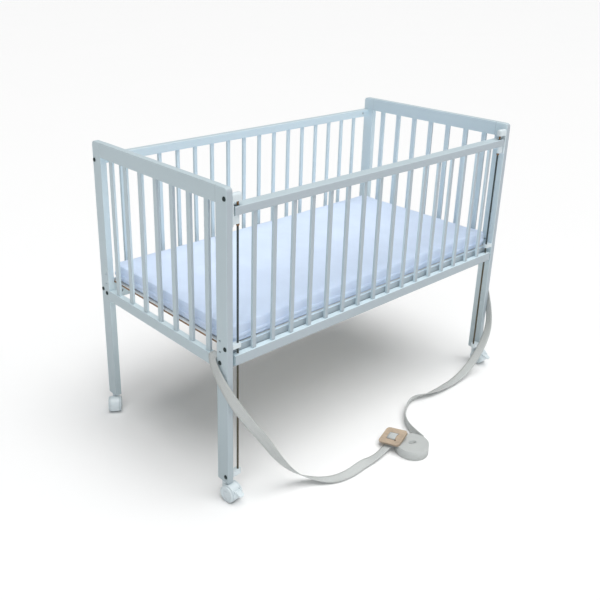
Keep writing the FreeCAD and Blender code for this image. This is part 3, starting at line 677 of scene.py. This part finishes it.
class COT_OT_mattress(bpy.types.Operator):
    """Make the mattress in its fitted cotton cover, with the cover's hem"""

    bl_idname = "cot.mattress"
    bl_label = "Mattress"

    def execute(self, context):
        low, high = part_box("mattress")
        cotton = cotton_cover()
        cover = self.core(low, high, cotton)
        self.swell(context, cover, low, high)
        self.crush(cover, low, high)
        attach(cover, FRAME_BODY)
        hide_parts("mattress")
        hem = self.hem(cover, low, high, cotton)
        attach(hem, FRAME_BODY)
        return {"FINISHED"}

    def core(self, low, high, material):
        """The slightly shrunken block that the cover starts from."""
        shrink = Vector((0.002, 0.002, 0.001))
        size, middle = high - low - shrink * 2, (low + high) / 2
        shape = bmesh.new()
        block = Matrix.Translation(middle) @ Matrix.Diagonal((*size, 1))
        bmesh.ops.create_cube(shape, size=1.0, matrix=block)
        upright = [e for e in shape.edges if abs(e.verts[0].co.z - e.verts[1].co.z) > 0.01]
        bmesh.ops.bevel(shape, geom=upright, offset=0.016, segments=5, affect="EDGES", profile=0.5,
                        material=-1)
        rims = [e for e in shape.edges if len(e.link_faces) == 2 and e.calc_face_angle(0.0) > 1.2]
        bmesh.ops.bevel(shape, geom=rims, offset=0.010, segments=4, affect="EDGES", profile=0.5,
                        material=-1)
        piece = finished("mattress_cover", shape, material)
        modifier(piece, "REMESH", mode="VOXEL", voxel_size=0.0075)
        baked(piece)
        return piece

    def swell(self, context, piece, low, high):
        """Puff the cover up under pressure, held at its foot, and cap how far it moves."""
        rest = [vertex.co.copy() for vertex in piece.data.vertices]
        held = piece.vertex_groups.new(name="held")
        held.add([v.index for v in piece.data.vertices if v.co.z < low.z + 0.004], 1.0, "REPLACE")
        cloth = piece.modifiers.new("Cloth", "CLOTH")
        cloth.settings.quality = 5
        cloth.settings.mass = 0.3
        cloth.settings.tension_stiffness = 12.0
        cloth.settings.compression_stiffness = 12.0
        cloth.settings.shear_stiffness = 5.0
        cloth.settings.bending_stiffness = 0.4
        cloth.settings.use_pressure = True
        cloth.settings.uniform_pressure_force = 3.0
        cloth.settings.effector_weights.gravity = 0.0
        cloth.settings.vertex_group_mass = "held"
        cloth.collision_settings.use_collision = False
        for step in range(1, 17):
            context.scene.frame_set(step)
        baked(piece)
        context.scene.frame_set(1)
        cap = sizes().cover_swell
        middle = (low + high).xy / 2
        half = (high - low).xy / 2
        for vertex, start in zip(piece.data.vertices, rest):
            move = vertex.co - start
            if move.length > cap:
                move *= cap / move.length
            far = Vector(((start.x - middle.x) / half.x, (start.y - middle.y) / half.y))
            move *= 1 - 0.9 * max(0.0, abs(far.x) + abs(far.y) - 1.55) / 0.45
            vertex.co = start + move

    def crush(self, piece, low, high):
        """Tuck the cover in under its hem, and add soft folds near its edges and corners."""
        tuck_z = low.z + sizes().hem_rise
        mesh = piece.data
        normals = [vertex.normal.copy() for vertex in mesh.vertices]
        for vertex, normal in zip(mesh.vertices, normals):
            place = vertex.co
            edge_x = min(place.x - low.x, high.x - place.x)
            edge_y = min(place.y - low.y, high.y - place.y)
            near = max(0.0, 1 - min(edge_x, edge_y) / 0.11)
            corner = max(0.0, 1 - math.hypot(max(edge_x, 0), max(edge_y, 0)) / 0.17)
            along = place.x if edge_y < edge_x else place.y
            folds = noise.noise(Vector((along * 13, min(edge_x, edge_y) * 5, place.z * 6)))
            drawn = noise.noise(Vector((place.x * 34 + place.y * 9, place.y * 30, place.z * 8)))
            slack = noise.noise(place * 3.1)
            push = folds * 0.0020 * near + drawn * 0.0016 * corner ** 1.3 + slack * 0.0010
            side = 1 - abs(normal.z)
            if place.z < tuck_z:
                push = -0.0010 * side
            vertex.co += normal * push
            vertex.co.z = max(vertex.co.z, low.z)
        mesh.update()

    def hem(self, cover, low, high, material):
        """The cover's gathered hem, a strip round the mattress's side."""
        level = low.z + sizes().hem_rise
        shape = bmesh.new()
        shape.from_mesh(cover.data)
        tree = BVHTree.FromBMesh(shape)
        shape.free()
        half = (high - low) / 2
        middle = (low + high) / 2
        radius = 0.018
        line, ways = [], []
        for point, outward in rounded_outline(half.x, half.y, radius, 0.006):
            wave = 0.0022 * noise.noise(Vector((point.x * 14, point.y * 14, 5.0)))
            start = Vector((middle.x + point.x, middle.y + point.y, level + 0.006)) + outward * 0.05
            hit = tree.ray_cast(start, -outward)[0]
            line.append(Vector((hit.x, hit.y, level + wave)) + outward * 0.0004)
            ways.append(Vector((0, 0, 1)) + outward * 0.08 * noise.noise(point * 40))
        line.append(line[0])
        ways.append(ways[0])
        return ribbon("mattress_hem", line, ways, sizes().hem_height, 0.0016, material, rows=3,
                      bow=-0.0012)


def rounded_outline(half_x, half_y, radius, step):
    """Points round a rectangle with round corners, each with the way out of it."""
    found = []
    for turn in range(4):
        spin = Matrix.Rotation(turn * math.pi / 2, 3, "Z")
        long, short = (half_x, half_y) if turn % 2 == 0 else (half_y, half_x)
        count = max(2, round((2 * short - 2 * radius) / step))
        for index in range(count):
            share = index / count
            point = Vector((long, -(short - radius) + share * 2 * (short - radius), 0))
            found.append((spin @ point, spin @ Vector((1, 0, 0))))
        arc = max(3, round(radius * math.pi / 2 / step))
        for index in range(arc):
            angle = index / arc * math.pi / 2
            way = Vector((math.cos(angle), math.sin(angle), 0))
            point = Vector((long - radius, short - radius, 0)) + way * radius
            found.append((spin @ point, spin @ way))
    return found


class COT_OT_strap(bpy.types.Operator):
    """Make the anchor strap: its loops, both runs, the roll, and the part threaded through the plate"""

    bl_idname = "cot.strap"
    bl_label = "Anchor strap"

    def execute(self, context):
        webbing = woven_webbing()
        up = plate_matrix().to_3x3() @ Vector((0, 0, 1))
        # Painted shade for the plate's side faces, and a dark disc painted as the shade in its hole.
        edge = shaded(colours().beech, 0.68)
        hole = plate_matrix() @ Vector((-0.015, -0.018, 0.004))
        beech = bare_timber("beech_plate", colours().beech, scale=(160, 14, 160), edge=edge, up=up,
                            hole=hole, turn=(0, 0, math.radians(-PLATE_ANGLES[0])))
        painted(["anchor_plate"], beech)
        loops = [self.loop(side, webbing) for side in (-1, 1)]
        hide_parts("strap_loops")
        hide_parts("strap_loops")
        threaded = self.threaded(webbing)
        roll = self.roll(webbing)
        left, left_path = self.run("strap_ribbon_left", LEFT_ROUTE, "strap_left", webbing)
        right, right_path = self.run("strap_ribbon_right", RIGHT_ROUTE, "strap_right", webbing)
        return {"FINISHED"}

    def run(self, name, route, node, material):
        """One free run of the strap, from its loop to the floor."""
        places = [CENTRE + Vector(row[:3]) * MM for row in route]
        ways = [Vector(row[3:]).normalized() for row in route]
        line = smooth_line(places)
        beside = smooth_line([place + way for place, way in zip(places, ways)])
        piece = ribbon(name, line, [b - a for a, b in zip(line, beside)], sizes().webbing_width,
                       sizes().webbing_thickness, material)
        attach(piece, FRAME_BODY)
        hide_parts(node)
        return piece, line

    def loop(self, side, material):
        """The loop round an end's bottom rail, sewn to itself on the outer face."""
        low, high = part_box("end_bottom_rail_left" if side < 0 else "end_bottom_rail_right")
        boxes = solids_of("strap_loops")
        band_low, band_high = boxes[0] if side < 0 else boxes[-1]
        y = (band_low.y + band_high.y) / 2
        thick = sizes().webbing_thickness
        outer = low.x if side < 0 else high.x
        inner = high.x if side < 0 else low.x
        one, two = thick * 0.6, thick * 1.6
        route = [(outer + side * one, high.z - 0.008), (outer + side * one, high.z - 0.020),
                 (outer + side * one, low.z - one), (outer - side * 0.008, low.z - one),
                 (inner - side * one, low.z - one), (inner - side * one, low.z + 0.012),
                 (inner - side * one, high.z - 0.010), (inner - side * one, high.z + one),
                 (outer - side * 0.010, high.z + one), (outer + side * two, high.z + one * 1.1),
                 (outer + side * two, high.z - 0.010), (outer + side * two, high.z - 0.016),
                 (outer + side * two * 1.05, high.z - 0.024)]
        line = smooth_line([Vector((x, y, z)) for x, z in route], steps=6)
        name = "strap_loop_left" if side < 0 else "strap_loop_right"
        ways = [Vector((0, -1, 0))] * len(line)
        piece = ribbon(name, line, ways, sizes().webbing_width, thick * 0.9, material)
        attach(piece, FRAME_BODY)
        return piece

    def threaded(self, material):
        """The short piece that comes up through one slot of the plate and down through the other."""
        route = [(-30, -8), (-20, -7.0), (-13.0, -6.5), (-12.2, 0), (-12.6, 5.2), (-7, 6.3), (0, 6.6),
                 (7, 6.3), (12.6, 5.2), (12.2, 0), (13.0, -6.5), (20, -7.5), (34, -9)]
        matrix = plate_matrix()
        line = smooth_line([matrix @ (Vector((x, 0, z)) * MM) for x, z in route], steps=6)
        way = matrix.to_3x3() @ Vector((0, 1, 0))
        piece = ribbon("strap_threaded", line, [way] * len(line), sizes().webbing_width,
                       sizes().webbing_thickness * 0.85, material)
        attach(piece, FRAME_BODY)
        return piece

    def roll(self, material):
        """The rest of the strap, rolled up flat on the floor with its edge up."""
        outer, core = sizes().roll_radius, sizes().roll_core
        pitch, steps = 0.00188, 52
        turns = (outer - core) / pitch
        middle = CENTRE + ROLL_PLACE + Vector((-0.003, 0.002, 0))
        level = sizes().webbing_width / 2 + 0.0006
        line = []
        for index in range(round(turns * steps) + 1):
            angle = index / steps
            radius = outer - pitch * angle
            loose = math.exp((core - radius) / 0.009)
            around = -angle * 2 * math.pi
            squash = 1 + 0.20 * loose * math.cos(2 * around + 0.9) + 0.012 * math.cos(3 * around)
            ripple = noise.noise(Vector((int(angle) * 0.7, around * 0.25, 0)))
            lift = 0.0030 * (1 - radius / outer) + 0.0007 * ripple
            place = Vector((math.cos(around), math.sin(around), 0)) * radius * squash
            line.append(middle + place + Vector((0, 0, level + max(0, lift))))
        tail = line[-1] - (CENTRE + ROLL_PLACE)
        inward = Vector((-tail.x, -tail.y, 0)).normalized()
        ahead = (line[-1] - line[-2]).normalized()
        for index in range(1, 7):
            line.append(line[-1] + (ahead * 0.7 + inward * 0.25 * index).normalized() * 0.0021)
        ways = [Vector((0, 0, 1))] * len(line)
        piece = ribbon("strap_roll_wound", line, ways, sizes().webbing_width, 0.00178, material, rows=2)
        long = sum((there - here).length for here, there in zip(line, line[1:]))
        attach(piece, FRAME_BODY)
        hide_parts("strap_roll")
        return piece


class COT_OT_stage(bpy.types.Operator):
    """Make the floor, the lights and the camera"""

    bl_idname = "cot.stage"
    bl_label = "Stage"

    def execute(self, context):
        scene = context.scene
        shape = bmesh.new()
        bmesh.ops.create_grid(shape, x_segments=1, y_segments=1, size=60.0)
        finish = Finish("studio_floor")
        clouds = finish.noise(finish.place(), 0.8, 2.0)
        tint = colours().floor
        material = finish.surface(finish.mix(clouds, shaded(tint, 0.995), shaded(tint, 1.005)), 0.7)
        finished("floor", shape, material, smooth=False)
        world = bpy.data.worlds.new("studio")
        world.use_nodes = True
        background = world.node_tree.nodes["Background"]
        background.inputs["Color"].default_value = (0.97, 0.985, 1.0, 1.0)
        background.inputs["Strength"].default_value = 0.14
        scene.world = world
        scene.view_settings.view_transform = "Standard"
        self.sun("key", (0.08, -0.24, 1.0), strength=2.85, spread=60.0, tint=(1.0, 0.996, 0.99))
        self.sun("fill", (-0.75, -0.65, 0.5), strength=0.45, spread=50.0, tint=(0.93, 0.97, 1.0))
        self.camera(scene)
        return {"FINISHED"}

    def sun(self, name, towards, strength, spread, tint):
        """A wide, soft distant light."""
        light = bpy.data.lights.new(name, "SUN")
        light.energy = strength
        light.angle = math.radians(spread)
        light.color = tint
        lamp = bpy.data.objects.new(name, light)
        lamp.rotation_mode = "QUATERNION"
        lamp.rotation_quaternion = Vector(towards).to_track_quat("Z", "Y")
        bpy.context.scene.collection.objects.link(lamp)

    def camera(self, scene):
        """A camera in front of the left end, above the rails."""
        data = bpy.data.cameras.new("camera")
        data.lens = 45.474
        data.sensor_width = 36.0
        data.shift_x = 0.0528
        data.shift_y = -0.0783
        data.clip_end = 200.0
        camera = bpy.data.objects.new("camera", data)
        azimuth, rise, tilt = math.radians(-41.85), math.radians(21.49), math.radians(0.91)
        back = Vector((math.sin(azimuth) * math.cos(rise), -math.cos(azimuth) * math.cos(rise),
                       math.sin(rise)))
        camera.location = CENTRE + Vector((-1.7078, -1.6914, 1.4441))
        camera.rotation_mode = "QUATERNION"
        level = (-back).to_track_quat("-Z", "Y")
        camera.rotation_quaternion = level @ Matrix.Rotation(tilt, 3, "Z").to_quaternion()
        scene.collection.objects.link(camera)
        scene.camera = camera


class COT_PT_panel(bpy.types.Panel):
    """Lists the cot's steps, sizes and colours"""

    bl_idname = "COT_PT_panel"
    bl_label = "Bedside Cot"
    bl_space_type = "VIEW_3D"
    bl_region_type = "UI"
    bl_category = "Cot"

    def draw(self, context):
        layout = self.layout
        for step in STEPS:
            layout.operator(step.bl_idname)
        for group in (context.scene.cot_sizes, context.scene.cot_colours):
            box = layout.box()
            for name in group.__annotations__:
                box.prop(group, name)


STEPS = (COT_OT_stage, COT_OT_timber, COT_OT_hardware, COT_OT_casters, COT_OT_mattress, COT_OT_strap)
CLASSES = (CotSizes, CotColours) + STEPS + (COT_PT_panel,)


def register():
    """Add the classes and the scene's properties."""
    for made in CLASSES:
        bpy.utils.register_class(made)
    bpy.types.Scene.cot_sizes = bpy.props.PointerProperty(type=CotSizes)
    bpy.types.Scene.cot_colours = bpy.props.PointerProperty(type=CotColours)


def unregister():
    """Take the classes and properties away again."""
    del bpy.types.Scene.cot_sizes
    del bpy.types.Scene.cot_colours
    for made in reversed(CLASSES):
        bpy.utils.unregister_class(made)


def main():
    """Build everything."""
    register()
    bpy.ops.cot.stage()
    bpy.ops.cot.timber()
    bpy.ops.cot.hardware()
    bpy.ops.cot.casters()
    bpy.ops.cot.mattress()
    bpy.ops.cot.strap()


if __name__ == "__main__":
    main()
